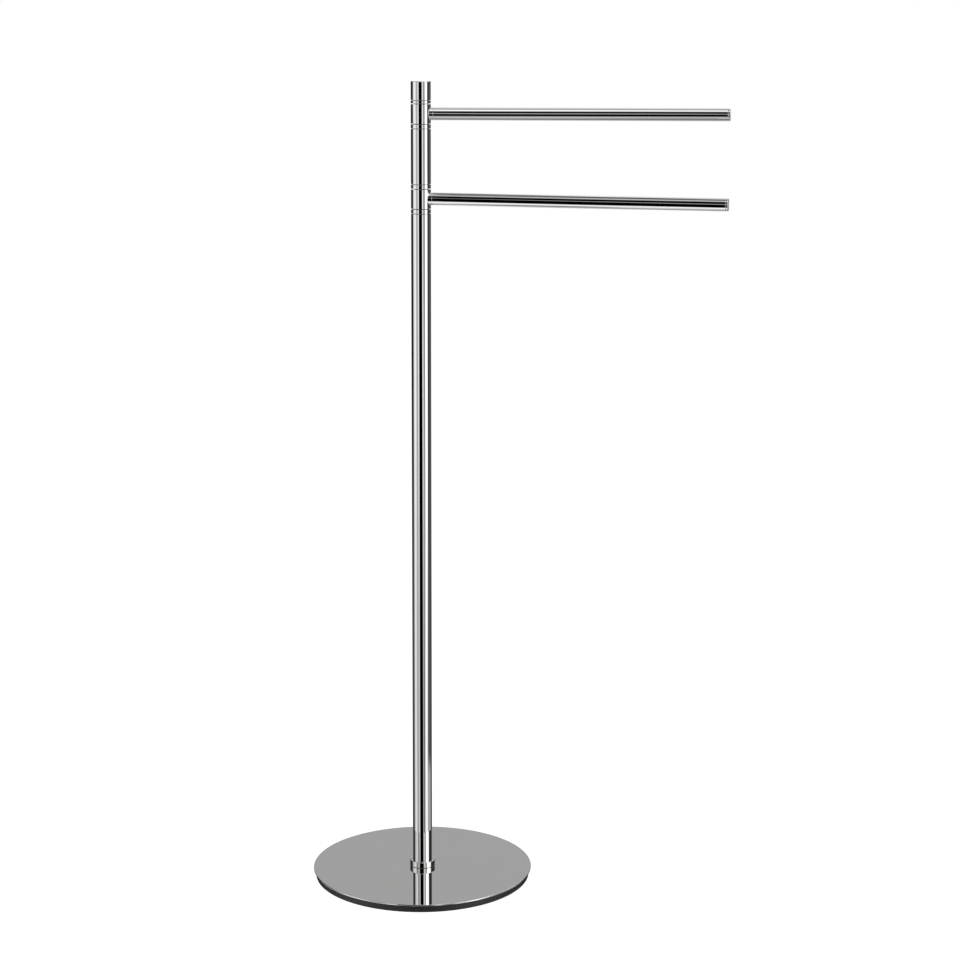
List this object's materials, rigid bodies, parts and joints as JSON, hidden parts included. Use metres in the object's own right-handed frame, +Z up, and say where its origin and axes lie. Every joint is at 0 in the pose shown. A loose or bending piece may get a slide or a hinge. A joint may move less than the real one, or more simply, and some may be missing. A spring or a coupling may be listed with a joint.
{
  "type": "towel stand",
  "caption": "Freestanding towel stand: a weighted round base, a slim polished post and two horizontal bars, one above the other, that swivel about the post.",
  "frame": {"origin": "on the post's axis, on the floor, at the centre of the anti-slip pad's underside", "axes": "+Z up along the post; +X along the upper bar, away from the post; -Y towards the front, where the lower bar is parked a little round"},
  "size_m": [0.462, 0.25, 0.905],
  "materials": {
    "chrome_plate": "polished chrome plate",
    "ballast_black": "satin black paint on an iron plate",
    "anti_slip_rubber": "matte foam rubber",
    "zinc_plated_steel": "turned steel, zinc plated",
    "acetal_bush": "natural acetal"
  },
  "bodies": {
    "stand": {"anti_slip_pad": "anti_slip_rubber", "ballast_plate": "ballast_black", "base_cover": "chrome_plate", "base_collar": "chrome_plate", "main_tube": "chrome_plate", "middle_tube": "chrome_plate", "clamp_rings": "chrome_plate", "top_cap": "chrome_plate", "base_screw": "zinc_plated_steel", "foot_insert": "zinc_plated_steel", "tube_plugs": "zinc_plated_steel", "lower_spindle": "zinc_plated_steel", "upper_spindle": "zinc_plated_steel"},
    "lower_bar": {"lower_sleeve": "chrome_plate", "lower_sleeve_bush": "acetal_bush", "lower_arm_stud": "zinc_plated_steel", "lower_arm_plug": "zinc_plated_steel", "lower_arm_tube": "chrome_plate", "lower_arm_end_cap": "chrome_plate"},
    "upper_bar": {"upper_sleeve": "chrome_plate", "upper_sleeve_bush": "acetal_bush", "upper_arm_stud": "zinc_plated_steel", "upper_arm_plug": "zinc_plated_steel", "upper_arm_tube": "chrome_plate", "upper_arm_end_cap": "chrome_plate"}
  },
  "joints": [
    {"name": "lower_bar_swivel", "type": "hinge", "parent": "stand", "child": "lower_bar", "pos_m": [0, 0, 0.77725], "axis": [0, 0, 1], "continuous": true},
    {"name": "upper_bar_swivel", "type": "hinge", "parent": "stand", "child": "upper_bar", "pos_m": [0, 0, 0.86975], "axis": [0, 0, 1], "continuous": true}
  ]
}
